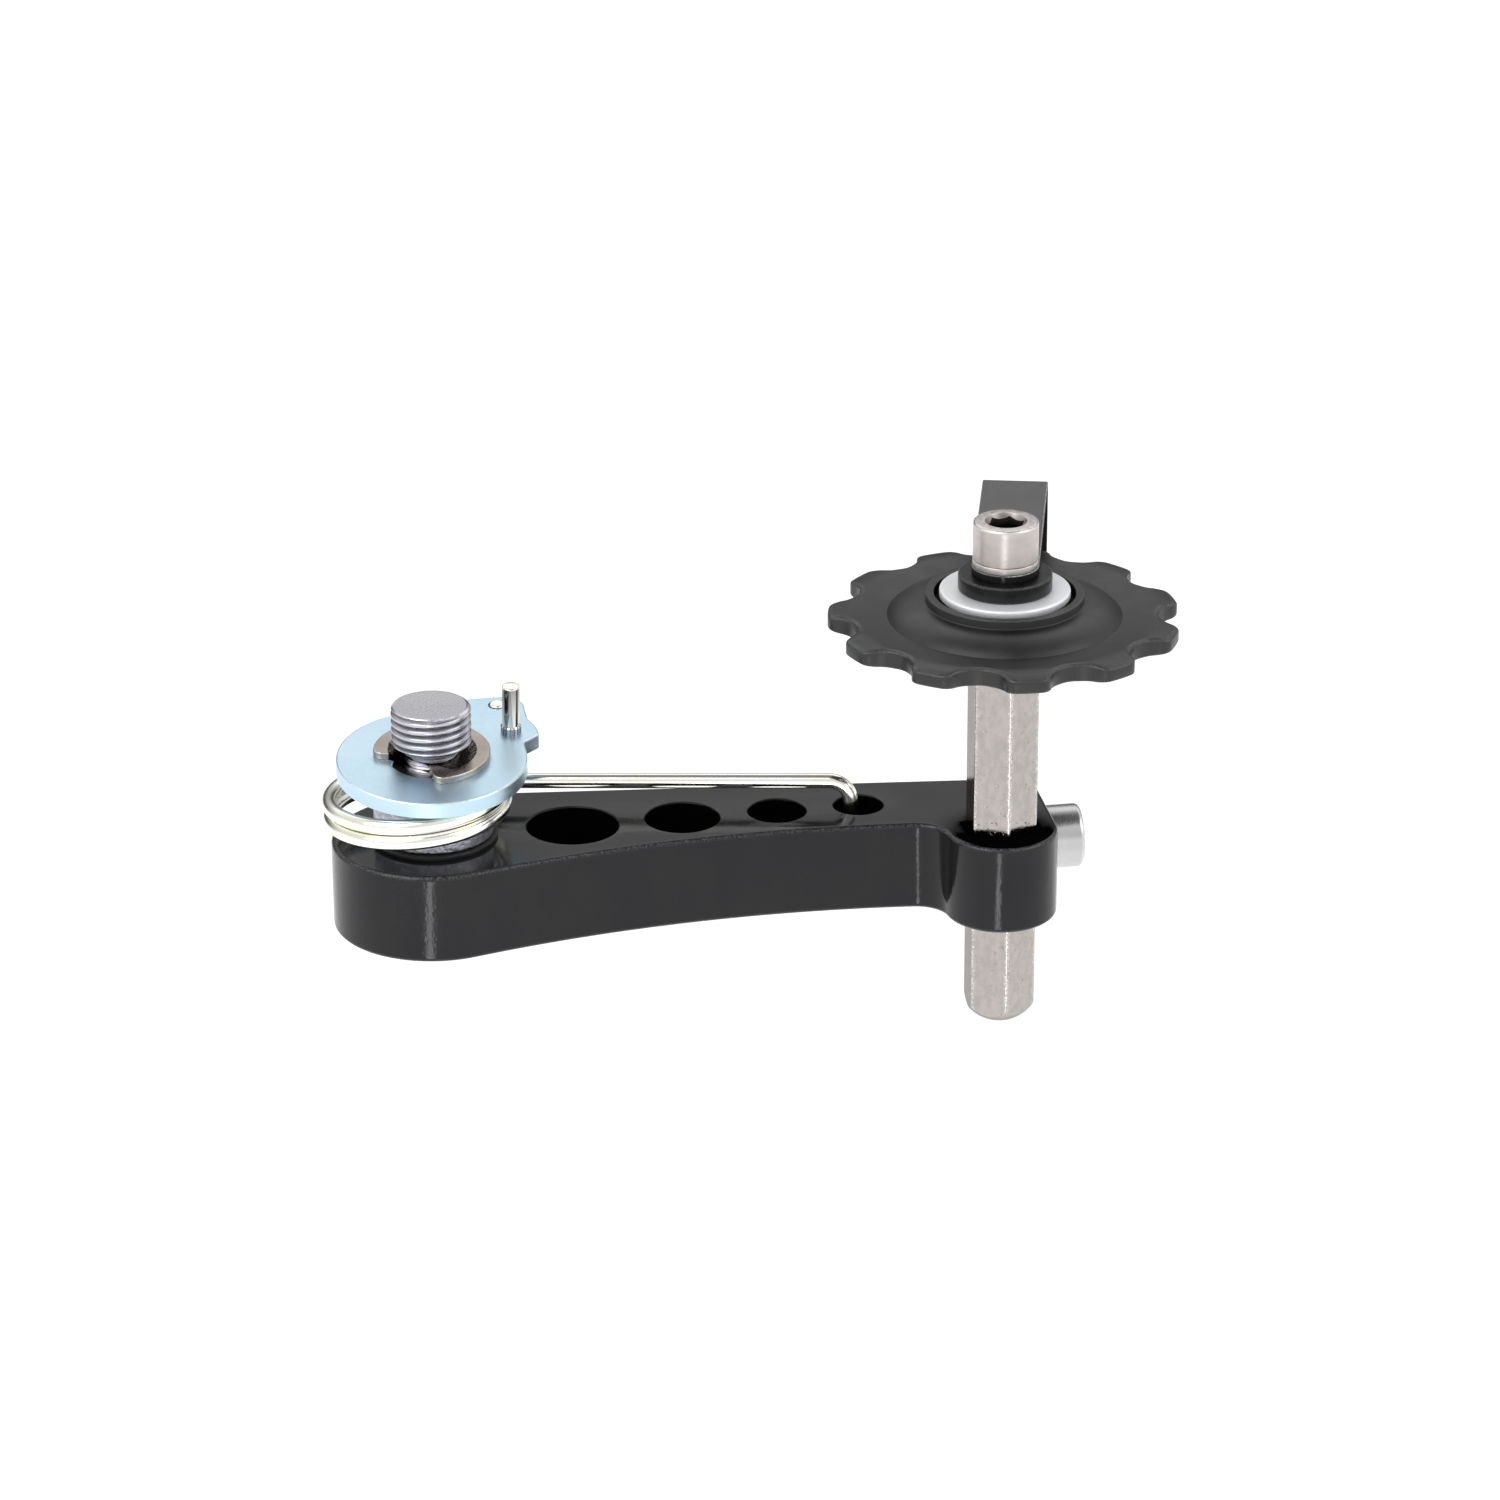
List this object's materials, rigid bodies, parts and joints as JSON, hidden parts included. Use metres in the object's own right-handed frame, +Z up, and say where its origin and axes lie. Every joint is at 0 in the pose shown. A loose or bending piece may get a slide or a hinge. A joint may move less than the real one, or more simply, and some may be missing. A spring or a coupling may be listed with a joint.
{
  "type": "bicycle chain tensioner",
  "caption": "Sprung single-wheel chain tensioner: hanger bolt, stop plate and torsion spring on a pierced arm whose clamp holds a hexagon bar with a toothed pulley and a chain guide.",
  "frame": {"origin": "on the pivot axis, at the base of the thread that screws into the frame's hanger", "axes": "+Z up the thread out of its free end, +X along the row of holes in the arm towards the pulley"},
  "size_m": [0.1048, 0.052, 0.0667],
  "materials": {
    "bolt_steel": "grey zinc plate over a cut thread",
    "clip_steel": "dull spring steel",
    "blue_zinc": "pale blue passivated zinc",
    "nickel": "bright nickel plate",
    "yellow_zinc": "pale yellow passivated zinc wire",
    "sleeve_zinc": "turned, zinc plated",
    "black_nylon": "moulded nylon",
    "black_anodised": "gloss black anodised",
    "screw_steel": "turned stainless steel",
    "nickel_hex": "drawn bar, nickel plated, finely pitted",
    "black_spacer": "satin moulded",
    "cap_zinc": "pressed and zinc plated",
    "bearing_steel": "ground",
    "black_plastic": "moulded, satin",
    "black_strip": "satin black coated sheet steel"
  },
  "bodies": {
    "hanger_bolt": {"hanger_bolt": "bolt_steel", "spring_sleeve": "sleeve_zinc"},
    "stop_plate": {"stop_plate": "blue_zinc", "stop_pin": "nickel", "e_clip": "clip_steel"},
    "arm": {"arm": "black_anodised", "upper_bush": "black_nylon", "lower_bush": "black_nylon", "torsion_spring": "yellow_zinc"},
    "axle": {"hex_axle": "nickel_hex", "lower_spacer": "black_spacer", "lower_dust_cap": "cap_zinc", "pulley_bush": "bearing_steel", "upper_dust_cap": "cap_zinc", "upper_spacer": "black_spacer", "lock_washer": "screw_steel", "pulley_bolt": "screw_steel"},
    "pulley": {"pulley_wheel": "black_plastic"},
    "chain_guide": {"chain_guide": "black_strip"},
    "clamp_screw": {"clamp_screw": "screw_steel"}
  },
  "joints": [
    {"name": "plate_turn", "type": "hinge", "parent": "hanger_bolt", "child": "stop_plate", "pos_m": [0, 0, 0], "axis": [0, 0, 1], "continuous": true},
    {"name": "arm_swing", "type": "hinge", "parent": "stop_plate", "child": "arm", "pos_m": [0, 0, 0], "axis": [0, 0, 1], "range_deg": [-100, 15], "stiffness_Nm_per_rad": 0.84, "deforming": ["torsion_spring"]},
    {"name": "axle_slide", "type": "slide", "parent": "arm", "child": "axle", "axis": [0, 0, 1], "range_m": [-0.015, 0.011]},
    {"name": "pulley_spin", "type": "hinge", "parent": "axle", "child": "pulley", "pos_m": [0.06945, -0.00963, 0], "axis": [0, 0, 1], "continuous": true},
    {"name": "guide_swing", "type": "hinge", "parent": "axle", "child": "chain_guide", "pos_m": [0.06945, -0.00963, 0], "axis": [0, 0, 1], "continuous": true},
    {"name": "clamp_turn", "type": "hinge", "parent": "arm", "child": "clamp_screw", "pos_m": [0.07647, -0.0013, -0.01816], "axis": [1, 0, 0], "range_deg": [0, 360]}
  ]
}
